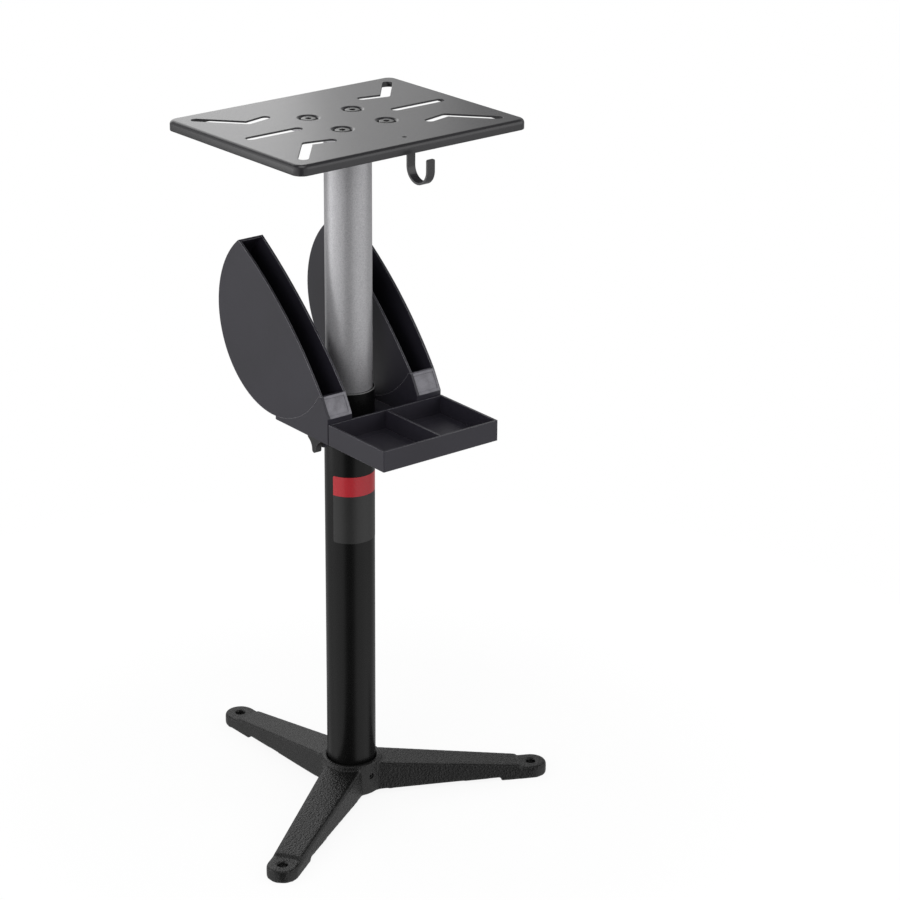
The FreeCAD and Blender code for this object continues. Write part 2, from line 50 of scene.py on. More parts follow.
def addObject(name, data):
    thing = bpy.data.objects.new(name, data)
    scene.collection.objects.link(thing)
    return thing


def addNode(tree, kind, inputs=None, **settings):
    # inputs holds plain values, or sockets of other nodes, which are linked
    node = tree.nodes.new(kind)
    for name, value in settings.items():
        setattr(node, name, value)
    for name, value in (inputs or {}).items():
        if isinstance(value, bpy.types.NodeSocket):
            tree.links.new(value, node.inputs[name])
        else:
            node.inputs[name].default_value = value
    return node


def maths(tree, operation, a, b=0.0, clamp=False):
    return addNode(tree, "ShaderNodeMath", {0: a, 1: b}, operation=operation, use_clamp=clamp).outputs[0]


def vectorMaths(tree, operation, a, b=(0, 0, 0), output="Vector"):
    return addNode(tree, "ShaderNodeVectorMath", {0: a, 1: b}, operation=operation).outputs[output]


def mixColour(tree, share, a, b):
    return addNode(tree, "ShaderNodeMix", {0: share, 6: a, 7: b}, data_type="RGBA").outputs[2]


def remap(tree, value, low, high, toLow=0.0, toHigh=1.0):
    sockets = {"Value": value, "From Min": low, "From Max": high, "To Min": toLow, "To Max": toHigh}
    return addNode(tree, "ShaderNodeMapRange", sockets).outputs["Result"]


def noise(tree, where, scale, detail, roughness=0.5):
    inputs = {"Vector": where, "Scale": scale, "Detail": detail, "Roughness": roughness}
    return addNode(tree, "ShaderNodeTexNoise", inputs).outputs


def objectPlace(tree):
    return addNode(tree, "ShaderNodeTexCoord").outputs["Object"]


def newShaderGroup(name, inputs, outputs):
    tree = bpy.data.node_groups.new(name, "ShaderNodeTree")
    for label, (kind, value) in inputs.items():
        socket = tree.interface.new_socket(label, in_out="INPUT", socket_type="NodeSocket" + kind)
        socket.default_value = value
    for label, kind in outputs.items():
        tree.interface.new_socket(label, in_out="OUTPUT", socket_type="NodeSocket" + kind)
    return tree, tree.nodes.new("NodeGroupInput").outputs, tree.nodes.new("NodeGroupOutput").inputs


# shared surface effects

noiseMiddle = (0.3, 0.7)  # the part of a noise's range that holds nearly all of it
# painted edge highlight: the least bend that shows, how openly an edge has to lie, its patches and their
# least share
paintedEdgeGlint = {"bend": 0.02, "openFrom": 0.80, "openTo": 0.95, "patchScale": 260.0, "patchLeast": 0.55}
castLumps = {"broadScale": 90.0, "smoothness": 0.7, "drop": 0.45}  # drop brings the middle near a half
enamel = {"warp": 0.0016, "cells": (0.1, 0.8), "clouds": (0.35, 0.65), "smoothness": 0.5,
          "flakeScale": 1500.0}


def softEdgeGroup():
    # rounded edges, and a mask of the outer ones, where a highlight is painted into the colour
    tree, given, made = newShaderGroup(
        "softEdge", {"Radius": ("Float", 0.0006), "Spread": ("Float", 0.25), "Reach": ("Float", 0.003)},
        {"Mask": "Float", "Normal": "Vector"})
    rounded = addNode(tree, "ShaderNodeBevel", {"Radius": given["Radius"]}, samples=6).outputs["Normal"]
    flat = addNode(tree, "ShaderNodeNewGeometry").outputs["Normal"]
    match = vectorMaths(tree, "DOT_PRODUCT", rounded, flat, "Value")
    bent = maths(tree, "SUBTRACT", 1.0, match, clamp=True)
    glintPatches = noise(tree, objectPlace(tree), paintedEdgeGlint["patchScale"], 3.0)["Fac"]
    patchy = remap(tree, glintPatches, *noiseMiddle, paintedEdgeGlint["patchLeast"], 1.0)
    openness = addNode(tree, "ShaderNodeAmbientOcclusion", {"Distance": given["Reach"]}, samples=6)
    outer = remap(tree, openness.outputs["AO"], paintedEdgeGlint["openFrom"], paintedEdgeGlint["openTo"])
    outward = maths(tree, "MULTIPLY", outer, patchy)
    caught = maths(tree, "MULTIPLY", remap(tree, bent, paintedEdgeGlint["bend"], given["Spread"]), outward)
    tree.links.new(caught, made["Mask"])
    tree.links.new(rounded, made["Normal"])
    return tree


def grainGroup():
    # fine even grain of a powder coat or a moulded texture, with slow cloudy change
    tree, given, made = newShaderGroup(
        "fineGrain", {"Scale": ("Float", 1800.0), "Cloud Scale": ("Float", 14.0)},
        {"Height": "Float", "Cloud": "Float"})
    where = objectPlace(tree)
    fine = noise(tree, where, given["Scale"], 2.0, 0.6)["Fac"]
    cloud = noise(tree, where, given["Cloud Scale"], 3.0)["Fac"]
    tree.links.new(fine, made["Height"])
    tree.links.new(remap(tree, cloud, *noiseMiddle), made["Cloud"])
    return tree


def castSkinGroup():
    # lumpy sand-cast skin under a thick coat
    tree, given, made = newShaderGroup(
        "castSkin", {"Scale": ("Float", 620.0), "Lumps": ("Float", 0.6)},
        {"Height": "Float", "Cloud": "Float"})
    where = objectPlace(tree)
    lumps = addNode(tree, "ShaderNodeTexVoronoi", {
        "Vector": where, "Scale": given["Scale"], "Smoothness": castLumps["smoothness"]},
        feature="SMOOTH_F1").outputs["Distance"]
    fine = noise(tree, where, given["Scale"], 4.0, 0.65)["Fac"]
    broad = noise(tree, where, castLumps["broadScale"], 2.0)["Fac"]
    raised = maths(tree, "MULTIPLY", maths(tree, "SUBTRACT", 1.0, lumps), given["Lumps"])
    height = maths(tree, "SUBTRACT", maths(tree, "ADD", raised, fine), castLumps["drop"])
    tree.links.new(height, made["Height"])
    tree.links.new(remap(tree, broad, *noiseMiddle), made["Cloud"])
    return tree


def hammerGroup():
    # hammered enamel: shallow cells with raised borders and metallic flake
    tree, given, made = newShaderGroup(
        "hammeredEnamel", {"Scale": ("Float", 420.0)},
        {"Height": "Float", "Cloud": "Float", "Flake": "Float"})
    where = objectPlace(tree)
    bend = noise(tree, where, given["Scale"], 2.0)
    shifted = vectorMaths(tree, "MULTIPLY", bend["Color"], (enamel["warp"],) * 3)
    moved = vectorMaths(tree, "ADD", where, shifted)
    cells = addNode(tree, "ShaderNodeTexVoronoi", {
        "Vector": moved, "Scale": given["Scale"], "Smoothness": enamel["smoothness"]},
        feature="SMOOTH_F1").outputs["Distance"]
    flake = addNode(tree, "ShaderNodeTexVoronoi", {"Vector": where, "Scale": enamel["flakeScale"]})
    loose = addNode(tree, "ShaderNodeSeparateColor", {"Color": flake.outputs["Color"]}).outputs[0]
    tree.links.new(remap(tree, cells, *enamel["cells"]), made["Height"])
    tree.links.new(remap(tree, bend["Fac"], *enamel["clouds"]), made["Cloud"])
    tree.links.new(loose, made["Flake"])
    return tree


def smoothPatchGroup():
    # mask of a box and of its mirror image across the middle: 1 inside, 0 outside
    tree, given, made = newShaderGroup(
        "smoothPatch", {"Low": ("Vector", (0, 0, 0)), "High": ("Vector", (0, 0, 0))}, {"Mask": "Float"})
    either = addNode(tree, "ShaderNodeSeparateXYZ", {"Vector": objectPlace(tree)}).outputs
    folded = addNode(tree, "ShaderNodeCombineXYZ", {
        "X": maths(tree, "ABSOLUTE", either["X"]), "Y": either["Y"], "Z": either["Z"]}).outputs["Vector"]
    mask = 1.0
    for upper, lower in ((folded, given["Low"]), (given["High"], folded)):
        gap = vectorMaths(tree, "SUBTRACT", upper, lower)
        for part in addNode(tree, "ShaderNodeSeparateXYZ", {"Vector": gap}).outputs:
            mask = maths(tree, "MULTIPLY", mask, maths(tree, "GREATER_THAN", part, 0.0))
    tree.links.new(mask, made["Mask"])
    return tree


def outerRingGroup():
    # mask of what lies further from the column's axis than a radius
    tree, given, made = newShaderGroup("outerRing", {"Radius": ("Float", 0.028)}, {"Mask": "Float"})
    flat = vectorMaths(tree, "MULTIPLY", objectPlace(tree), (1, 1, 0))
    reach = vectorMaths(tree, "LENGTH", flat, output="Value")
    tree.links.new(maths(tree, "GREATER_THAN", reach, given["Radius"]), made["Mask"])
    return tree


softEdge, fineGrain, castSkin = softEdgeGroup(), grainGroup(), castSkinGroup()
hammered, smoothPatch, outerRing = hammerGroup(), smoothPatchGroup(), outerRingGroup()


def useGroup(tree, group, **inputs):
    node = tree.nodes.new("ShaderNodeGroup")
    node.node_tree = group
    for name, value in inputs.items():
        node.inputs[name].default_value = value
    return node.outputs


def grey(level, tint=0.0):
    # tint leans a little to violet
    return (level, level * (1 - tint / 4), level * (1 + tint), 1.0)


def makeFinish(name, look):
    # one finish: base colour with slow change, painted highlights on outer edges and where asked, grained
    # roughness and bump over soft edges
    material = bpy.data.materials.new(name)
    material.use_nodes = True
    tree = material.node_tree
    tree.nodes.clear()
    edge = None
    if look["edge"] > 0:
        edge = useGroup(tree, softEdge, Radius=look["edge"])
    skinInputs = {"Scale": look["skinScale"]}
    if look["skin"] is fineGrain:
        skinInputs["Cloud Scale"] = look.get("cloudScale", 14.0)
    skin = useGroup(tree, look["skin"], **skinInputs)
    colour = mixColour(tree, skin["Cloud"], look["colour"], look["cloudColour"])
    if "flake" in look:
        flakes = maths(tree, "MULTIPLY", skin["Flake"], look["flakeShare"])
        colour = mixColour(tree, flakes, colour, look["flake"])
    # painted sparkle: the highest parts of the skin get a paler colour in place of glints
    if "paintedSparkleColour" in look:
        colour = mixColour(tree, remap(tree, skin["Height"], *look["peaks"]), colour, look["paintedSparkleColour"])
    # painted highlight: a paler colour on what lies outside a radius
    if "ringFrom" in look:
        ring = useGroup(tree, outerRing, Radius=look["ringFrom"])["Mask"]
        colour = mixColour(tree, ring, colour, look["ringGlintColour"])
    # painted highlight: outer edges get a paler colour where the edge mask lies
    if edge:
        paintedGlint = maths(tree, "MULTIPLY", edge["Mask"], look["edgeGlintShare"])
        colour = mixColour(tree, paintedGlint, colour, look["edgeGlintColour"])
    rough = remap(tree, skin["Height"], *noiseMiddle, *look["rough"])
    # the patch is polished, and a paler colour, slowly mottled, is painted over it as a painted sheen
    if "patch" in look:
        low, high = look["patch"]
        patch = useGroup(tree, smoothPatch, Low=low, High=high)["Mask"]
        kept = maths(tree, "SUBTRACT", 1.0, maths(tree, "MULTIPLY", patch, look["patchPolish"]))
        rough = maths(tree, "MULTIPLY", rough, kept)
        sheenMottle = useGroup(tree, look["skin"], **{"Scale": look["skinScale"], "Cloud Scale": look["sheenMottleScale"]})
        shade = remap(tree, sheenMottle["Cloud"], 0.0, 1.0, look["sheenMottleLeast"], 1.0)
        colour = mixColour(tree, maths(tree, "MULTIPLY", patch, shade), colour, look["patchColour"])
    bump = addNode(tree, "ShaderNodeBump", {"Strength": look["bump"], "Distance": look["bumpDepth"],
                                            "Height": skin["Height"]})
    if edge:
        tree.links.new(edge["Normal"], bump.inputs["Normal"])
    shader = addNode(tree, "ShaderNodeBsdfPrincipled", {
        "Base Color": colour, "Roughness": rough, "Normal": bump.outputs["Normal"],
        "Metallic": look.get("metallic", 0.0), "Specular IOR Level": look.get("specular", 0.5)})
    addNode(tree, "ShaderNodeOutputMaterial", {"Surface": shader.outputs["BSDF"]})
    return material


# finishes: colour, grain and gloss of each

# the lumps' tops carry a paler painted sparkle colour, standing in for the glossy coat's glints
castBlack = {"colour": grey(0.0035), "cloudColour": grey(0.007), "paintedSparkleColour": grey(0.065),
             "peaks": (0.58, 0.86), "edge": 0.0, "skin": castSkin, "skinScale": 420.0, "rough": (0.30, 0.10),
             "bump": 1.0, "bumpDepth": 0.0007, "specular": 0.46}
glossBlack = {"colour": grey(0.004), "cloudColour": grey(0.005), "edgeGlintColour": grey(0.06), "edgeGlintShare": 0.4,
              "edge": 0.0004, "skin": fineGrain, "skinScale": 900.0, "rough": (0.26, 0.32),
              "bump": 0.05, "bumpDepth": 0.0002, "specular": 0.25}
satinBlack = {"colour": grey(0.022, 0.08), "cloudColour": grey(0.027, 0.08), "edgeGlintColour": grey(0.08),
              "edgeGlintShare": 0.4, "edge": 0.0005, "skin": fineGrain, "skinScale": 1400.0, "rough": (0.24, 0.32),
              "bump": 0.10, "bumpDepth": 0.0002, "specular": 0.56}
hammertoneGrey = {"colour": grey(0.36, 0.04), "cloudColour": grey(0.44, 0.04), "edgeGlintColour": grey(0.7),
                  "edgeGlintShare": 0.5, "edge": 0.0006, "skin": hammered, "skinScale": 900.0,
                  "rough": (0.28, 0.38), "bump": 0.22, "bumpDepth": 0.0003, "flake": grey(0.75),
                  "flakeShare": 0.4, "metallic": 0.45}
charcoalPlastic = {"colour": grey(0.018, 0.32), "cloudColour": grey(0.022, 0.32),
                   "edgeGlintColour": grey(0.42, 0.05), "edgeGlintShare": 0.75, "edge": 0.0006, "skin": fineGrain,
                   "skinScale": 2300.0, "rough": (0.42, 0.52), "bump": 0.20, "bumpDepth": 0.0002}
knobPlastic = {**charcoalPlastic, "colour": grey(0.012), "cloudColour": grey(0.015), "rough": (0.34, 0.44)}
# near black, so the guide reads as the shaded gap at the tube's mouth (painted shade), with a pale painted
# highlight arc on its outer rim
nylonGrey = {**charcoalPlastic, "colour": grey(0.008), "cloudColour": grey(0.010), "ringFrom": 0.02825,
             "ringGlintColour": grey(0.30), "edgeGlintShare": 0.0}
blackOxide = {**satinBlack, "colour": grey(0.012), "cloudColour": grey(0.018), "edge": 0.0004,
              "rough": (0.24, 0.34)}
brightZinc = {"colour": grey(0.60, 0.02), "cloudColour": grey(0.50, 0.02), "edgeGlintColour": grey(0.75),
              "edgeGlintShare": 0.5, "edge": 0.0003, "skin": fineGrain, "skinScale": 1600.0, "cloudScale": 60.0,
              "rough": (0.24, 0.38), "bump": 0.10, "bumpDepth": 0.0002, "metallic": 1.0}

slotLooks = {"cast_black": castBlack, "black_oxide": blackOxide, "gloss_black": glossBlack,
             "nylon_grey": nylonGrey, "hammertone_grey": hammertoneGrey, "satin_black": satinBlack,
             "bright_zinc": brightZinc, "charcoal_plastic": charcoalPlastic, "knob_plastic": knobPlastic}
finishes = {slot: makeFinish(slot, look) for slot, look in slotLooks.items()}

# the bracket's sloping pads are smoother and carry a paler painted sheen, and the pockets' rims a wider
# painted edge highlight
# the pads' paler colour is a painted reflection of the light falling on them
padPaintedSheen = {"patch": ((0.0465, -0.0700, 0.5050), (0.0755, -0.0525, 0.5285)), "patchPolish": 0.40,
            "patchColour": grey(0.21, 0.1), "sheenMottleScale": 120.0, "sheenMottleLeast": 0.6,
            "edgeGlintColour": grey(0.14, 0.1), "edgeGlintShare": 0.5}
# the pockets' rims get a wider and paler painted edge highlight
pocketRims = {"edge": 0.0011, "edgeGlintColour": grey(0.46, 0.05), "edgeGlintShare": 0.9}
padFinish = makeFinish("charcoal_plastic_pads", {**charcoalPlastic, **padPaintedSheen})
rimFinish = makeFinish("charcoal_plastic_rims", {**charcoalPlastic, **pocketRims})
specialFinishes = {"tray_bracket": padFinish, "left_pocket": rimFinish, "right_pocket": rimFinish}
slotOf = {part["node"]: part["material_slot"] for part in frame["record"]["subparts"]}
for nodeName, part in nodes.items():
    if not part.material_slots:
        part.data.materials.append(finishes[slotOf[nodeName]])
    for materialSlot in part.material_slots:
        materialSlot.material = specialFinishes.get(nodeName, finishes[slotOf[nodeName]])
print("finishes made:", ", ".join(finishes))


# geometry node trees

def newTree(name, inputs):
    tree = bpy.data.node_groups.new(name, "GeometryNodeTree")
    tree.is_modifier = True
    for label, value in inputs.items():
        kind = {int: "Int", float: "Float"}.get(type(value), "Object")
        socket = tree.interface.new_socket(label, in_out="INPUT", socket_type="NodeSocket" + kind)
        socket.default_value = value
    tree.interface.new_socket("Geometry", in_out="OUTPUT", socket_type="NodeSocketGeometry")
    return tree, tree.nodes.new("NodeGroupInput").outputs


def closeTree(tree, geometry, material, sharpFrom=30):
    # smooth shading except over edges sharper than some degrees, then real mesh with its finish
    angle = addNode(tree, "GeometryNodeInputMeshEdgeAngle").outputs["Unsigned Angle"]
    soft = addNode(tree, "FunctionNodeCompare", {0: angle, 1: math.radians(sharpFrom)}, data_type="FLOAT",
                   operation="LESS_THAN").outputs["Result"]
    faces = addNode(tree, "GeometryNodeSetShadeSmooth", {"Geometry": geometry, "Shade Smooth": True},
                    domain="FACE").outputs["Geometry"]
    edges = addNode(tree, "GeometryNodeSetShadeSmooth", {"Geometry": faces, "Shade Smooth": soft},
                    domain="EDGE").outputs["Geometry"]
    real = addNode(tree, "GeometryNodeRealizeInstances", {"Geometry": edges}).outputs["Geometry"]
    done = addNode(tree, "GeometryNodeSetMaterial", {"Geometry": real, "Material": material})
    tree.links.new(done.outputs["Geometry"], tree.nodes.new("NodeGroupOutput").inputs["Geometry"])
    return tree


def growPiece(name, tree, values):
    # runs a tree once and keeps its result as a plain mesh
    host = addObject("host", bpy.data.meshes.new("host"))
    modifier = host.modifiers.new("tree", "NODES")
    modifier.node_group = tree
    idents = {item.name: item.identifier for item in tree.interface.items_tree if item.in_out == "INPUT"}
    for label, value in values.items():
        modifier[idents[label]] = value
    bpy.context.view_layer.update()
    ready = host.evaluated_get(bpy.context.evaluated_depsgraph_get())
    mesh = bpy.data.meshes.new_from_object(ready)
    host.modifiers.remove(modifier)
    bpy.data.objects.remove(host)
    mesh.name = name
    return addObject(name, mesh)


def tubeTree(material):
    # a round tube with softened mouth edges
    tree, given = newTree("roundTube", {"Radius": 0.03, "Wall": 0.002, "Low": 0.0, "High": 0.5,
                                        "Lip": 0.0004, "Sides": 128})
    middle = maths(tree, "SUBTRACT", given["Radius"], maths(tree, "MULTIPLY", given["Wall"], 0.5))
    tall = maths(tree, "SUBTRACT", given["High"], given["Low"])
    path = addNode(tree, "GeometryNodeCurvePrimitiveCircle", {
        "Resolution": given["Sides"], "Radius": middle}).outputs["Curve"]
    section = addNode(tree, "GeometryNodeCurvePrimitiveQuadrilateral", {
        "Width": given["Wall"], "Height": tall}).outputs["Curve"]
    eased = addNode(tree, "GeometryNodeFilletCurve", {
        "Curve": section, "Count": 3, "Radius": given["Lip"]}, mode="POLY").outputs["Curve"]
    swept = addNode(tree, "GeometryNodeCurveToMesh", {"Curve": path, "Profile Curve": eased})
    half = maths(tree, "MULTIPLY", maths(tree, "ADD", given["High"], given["Low"]), 0.5)
    lift = addNode(tree, "ShaderNodeCombineXYZ", {"Z": half}).outputs["Vector"]
    placed = addNode(tree, "GeometryNodeTransform", {"Geometry": swept.outputs["Mesh"], "Translation": lift})
    return closeTree(tree, placed.outputs["Geometry"], material)


# column tubes

lowerTubeSizes = {"Radius": 0.0285, "Wall": 0.0015, "Low": 0.0095, "High": 0.507, "Lip": 0.0004,
                  "Sides": 128}
upperTubeSizes = {"Radius": 0.0263, "Wall": 0.0020, "Low": 0.320, "High": 0.8024, "Lip": 0.0004,
                  "Sides": 128}

lowerTube = growPiece("lower_tube_round", tubeTree(finishes["gloss_black"]), lowerTubeSizes)
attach(lowerTube, "root")
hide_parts("lower_tube")
upperTube = growPiece("upper_tube_round", tubeTree(finishes["hammertone_grey"]), upperTubeSizes)
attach(upperTube, "column_upper")
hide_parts("upper_tube")
print("tubes made:", [len(o.data.vertices) for o in (lowerTube, upperTube)])


# top plate: pressed sheet, turned down round a soft bend, with slots and pressed dishes

plateSizes = {"halfLong": 0.155, "halfDeep": 0.120, "top": 0.815, "sheet": 0.002, "rim": 0.0115,
              "corner": 0.012, "bend": 0.0048, "bendSteps": 12, "cornerSteps": 14, "lip": 0.0006,
              "lipEase": 0.3, "slotWidth": 0.011, "slotEdge": 0.0004, "capSteps": 12,
              "straight": (0.067, 0.1285), "dogLeg": ((0.0665, 0.059), (0.094, 0.053), (0.1315, 0.096)),
              "dishPitch": 0.030, "dishSides": 64, "hookHole": (0.002, -0.0955, 0.0023),
              "hookHoleEdge": 0.0002, "sharpFrom": 35}
# each step of a dish: radius, and height over the plate's top face
dishSteps = ((0.01340, 0.0), (0.01290, -0.00005), (0.01240, -0.00018), (0.01190, -0.00040),
             (0.01140, -0.00072), (0.01090, -0.00112), (0.01045, -0.00160), (0.01015, -0.00230),
             (0.01005, -0.00330), (0.01000, -0.00440), (0.00980, -0.00460), (0.00560, -0.00460),
             (0.00540, -0.00480), (0.00540, -0.00660), (0.01285, -0.00660), (0.01300, -0.00640),
             (0.01300, -0.00200))


def roundedOutline(halfLong, halfDeep, corner, steps):
    points = []
    for k, (sx, sy) in enumerate(((1, 1), (-1, 1), (-1, -1), (1, -1))):
        for i in range(steps + 1):
            angle = math.radians(90) * (k + i / steps)
            points.append((sx * (halfLong - corner) + corner * math.cos(angle),
                           sy * (halfDeep - corner) + corner * math.sin(angle)))
    return points


def slotOutline(spine, width, steps):
    # round-ended slot along two or three points; its bend is an arc outside and a corner inside
    half = width / 2
    spine = [Vector(p) for p in spine]
    runs = [(b - a).normalized() for a, b in zip(spine, spine[1:])]
    sides = [Vector((-run.y, run.x)) for run in runs]
    cap = [math.pi * i / steps for i in range(steps + 1)]
    outline = [spine[0] + half * (sides[0] * math.cos(a) - runs[0] * math.sin(a)) for a in cap]
    far = [spine[-1] + half * (-sides[-1] * math.cos(a) + runs[-1] * math.sin(a)) for a in cap]
    if len(runs) == 1:
        return outline + far
    turnsLeft = runs[0].cross(runs[1]) > 0
    inner = (sides[0] + sides[1]) * (half / (1 + sides[0].dot(sides[1]))) * (1 if turnsLeft else -1)
    arc = []
    for i in range(steps // 2 + 1):
        mixed = sides[0].lerp(sides[1], i / (steps // 2)).normalized()
        arc.append(spine[1] + mixed * half * (-1 if turnsLeft else 1))
    near, away = (arc, [spine[1] + inner]) if turnsLeft else ([spine[1] + inner], arc[::-1])
    return outline + near + far + away


def pressedPlate(name, material):
    sizes = plateSizes
    top, under = sizes["top"], sizes["top"] - sizes["sheet"]
    low, bend, lip, sheet = top - sizes["rim"], sizes["bend"], sizes["lip"], sizes["sheet"]
    near = lip * sizes["lipEase"]
    body = bmesh.new()

    def addLoop(points, z):
        return [body.verts.new((x, y, z)) for x, y in points]

    def joinLoops(a, b):
        for i in range(len(a)):
            body.faces.new((a[i - 1], a[i], b[i], b[i - 1]))

    def skin(loops):
        for a, b in zip(loops, loops[1:]):
            joinLoops(a, b)
        return loops[0], loops[-1]

    quarter = [math.radians(90) * i / sizes["bendSteps"] for i in range(sizes["bendSteps"] + 1)]
    section = [(bend - bend * math.sin(a), top - bend + bend * math.cos(a)) for a in quarter]
    section += [(0.0, low + lip), (near, low + near), (lip, low), (sheet - lip, low),
                (sheet - near, low + near), (sheet, low + lip)]
    section += [(bend - (bend - sheet) * math.sin(a), top - bend + (bend - sheet) * math.cos(a))
                for a in reversed(quarter)]
    topHoles, underHoles = [], []
    long, deep, corner = sizes["halfLong"], sizes["halfDeep"], sizes["corner"]
    outer = [addLoop(roundedOutline(long - inset, deep - inset, corner - inset, sizes["cornerSteps"]), z)
             for inset, z in section]
    upperLoop, lowerLoop = skin(outer)
    spines = []
    for sx in (-1, 1):
        spines.append([(sx * x, 0.0) for x in sizes["straight"]])
        spines += [[(sx * x, sy * y) for x, y in sizes["dogLeg"]] for sy in (-1, 1)]
    ease, width = sizes["slotEdge"], sizes["slotWidth"]
    # each step of a slot's wall: growth of its width, and height; rounded above, barely broken below
    slotSection = ((2 * ease, top), (0.6 * ease, top - 0.3 * ease), (0.0, top - ease),
                   (0.0, under + 0.5 * ease), (0.4 * ease, under))
    for spine in spines:
        first, last = skin([addLoop(slotOutline(spine, width + grow, sizes["capSteps"]), z)
                            for grow, z in slotSection])
        topHoles.append(first)
        underHoles.append(last)
    turns = [2 * math.pi * k / sizes["dishSides"] for k in range(sizes["dishSides"])]
    ring = [(math.cos(turn), math.sin(turn)) for turn in turns]
    pitch = sizes["dishPitch"]
    for cx, cy in ((pitch, pitch), (-pitch, pitch), (-pitch, -pitch), (pitch, -pitch)):
        first, last = skin([addLoop([(cx + r * c, cy + r * s) for c, s in ring], top + z)
                            for r, z in dishSteps])
        topHoles.append(first)
        underHoles.append(last)
    hx, hy, hr = sizes["hookHole"]
    ease = sizes["hookHoleEdge"]
    first, last = skin([addLoop([(hx + r * c, hy + r * s) for c, s in ring[::4]], z)
                        for r, z in ((hr + ease, top), (hr, top - ease), (hr, under))])
    topHoles.append(first)
    underHoles.append(last)
    for border, holes in ((upperLoop, topHoles), (lowerLoop, underHoles)):
        rims = [body.edges.get((loop[i - 1], loop[i]))  # in order, so that every run fills alike
                for loop in [border] + holes for i in range(len(loop))]
        bmesh.ops.triangle_fill(body, use_beauty=True, edges=rims)
        for rim in rims:
            rim.smooth = False
    bmesh.ops.recalc_face_normals(body, faces=body.faces)
    for face in body.faces:
        face.smooth = True
    for edge in body.edges:
        if len(edge.link_faces) == 2 and edge.calc_face_angle(0.0) > math.radians(sizes["sharpFrom"]):
            edge.smooth = False
    mesh = bpy.data.meshes.new(name)
    body.to_mesh(mesh)
    print("open edges on the plate:", sum(len(edge.link_faces) != 2 for edge in body.edges))
    body.free()
    mesh.materials.append(material)
    return addObject(name, mesh)


topPlate = pressedPlate("top_plate_pressed", finishes["satin_black"])
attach(topPlate, "column_upper")
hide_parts("top_plate")
print("plate made:", len(topPlate.data.polygons), "faces")


# plate screws: low rounded heads with a hexagon socket, threads under the nuts

screwSizes = {"pitch": 0.030, "headTop": 0.8142, "seat": 0.8104, "headRadius": 0.0087, "socket": 0.0031,
              "socketDepth": 0.0024, "socketLip": (1.08, 0.0003), "shank": 0.00496, "tip": 0.7884,
              "tipEase": 0.0004, "tipInset": 0.0005, "threadTop": 0.7950, "threadPitch": 0.0015,
              "threadDepth": 0.0006, "rows": 4, "sides": 48, "sharpFrom": 38}
# each step of a head's rounded edge: how far inside its radius, and how far under its top
headSteps = ((0.0014, 0.0), (0.0008, 0.00012), (0.0003, 0.00045), (0.0, 0.0011))


def oneScrew():
    # a single screw on the column's axis, at its own height
    sizes = screwSizes
    sides, top, seat, head = sizes["sides"], sizes["headTop"], sizes["seat"], sizes["headRadius"]
    angles = [2 * math.pi * k / sides for k in range(sides)]
    body = bmesh.new()

    def hexReach(angle, apothem):
        return apothem / math.cos((angle % math.radians(60)) - math.radians(30))

    def threadReach(angle, z):
        turn = (z / sizes["threadPitch"] + angle / (2 * math.pi)) % 1.0
        return sizes["shank"] - sizes["threadDepth"] * abs(2 * turn - 1)

    grow, lip = sizes["socketLip"]
    rings = [([hexReach(a, sizes["socket"] * size) for a in angles], z) for size, z in
             ((1.0, top - sizes["socketDepth"]), (1.0, top - lip), (grow, top))]
    rings += [([head - inset] * sides, top - drop) for inset, drop in headSteps]
    rings += [([head] * sides, seat), ([sizes["shank"]] * sides, seat),
              ([sizes["shank"]] * sides, sizes["threadTop"] + sizes["tipEase"])]
    z, step = sizes["threadTop"], sizes["threadPitch"] / sizes["rows"]
    while z > sizes["tip"] + sizes["threadDepth"]:
        rings.append(([threadReach(a, z) for a in angles], z))
        z -= step
    core = sizes["shank"] - sizes["threadDepth"]
    rings.append(([core] * sides, sizes["tip"] + sizes["tipEase"]))
    rings.append(([core - sizes["tipInset"]] * sides, sizes["tip"]))
    loops = [[body.verts.new((r * math.cos(a), r * math.sin(a), z)) for r, a in zip(reach, angles)]
             for reach, z in rings]
    for a, b in zip(loops, loops[1:]):
        for i in range(sides):
            body.faces.new((a[i - 1], a[i], b[i], b[i - 1]))
    body.faces.new(loops[0])
    body.faces.new(loops[-1])
    bmesh.ops.recalc_face_normals(body, faces=body.faces)
    mesh = bpy.data.meshes.new("screw")
    body.to_mesh(mesh)
    body.free()
    return addObject("screw", mesh)


def screwTree(material):
    # the same screw at each corner of a square
    tree, given = newTree("screwSquare", {"Pitch": 0.03, "Screw": None})
    across = maths(tree, "MULTIPLY", given["Pitch"], 2.0)
    corners = addNode(tree, "GeometryNodeMeshGrid", {
        "Size X": across, "Size Y": across, "Vertices X": 2, "Vertices Y": 2}).outputs["Mesh"]
    screw = addNode(tree, "GeometryNodeObjectInfo", {"Object": given["Screw"]}).outputs["Geometry"]
    placed = addNode(tree, "GeometryNodeInstanceOnPoints", {"Points": corners, "Instance": screw})
    return closeTree(tree, placed.outputs["Instances"], material, screwSizes["sharpFrom"])


screwShape = oneScrew()
plateScrews = growPiece("plate_screws_threaded", screwTree(finishes["black_oxide"]),
                        {"Pitch": screwSizes["pitch"], "Screw": screwShape})
bpy.data.objects.remove(screwShape)
print("plate screws made:", len(plateScrews.data.polygons), "faces")
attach(plateScrews, "column_upper")
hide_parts("plate_screws")


# base casting: the solid's own form with every edge eased, as sand leaves it

castSizes = {"voxel": 0.0012, "easing": 0.5, "rounds": 14, "mergeWithin": 0.00001}


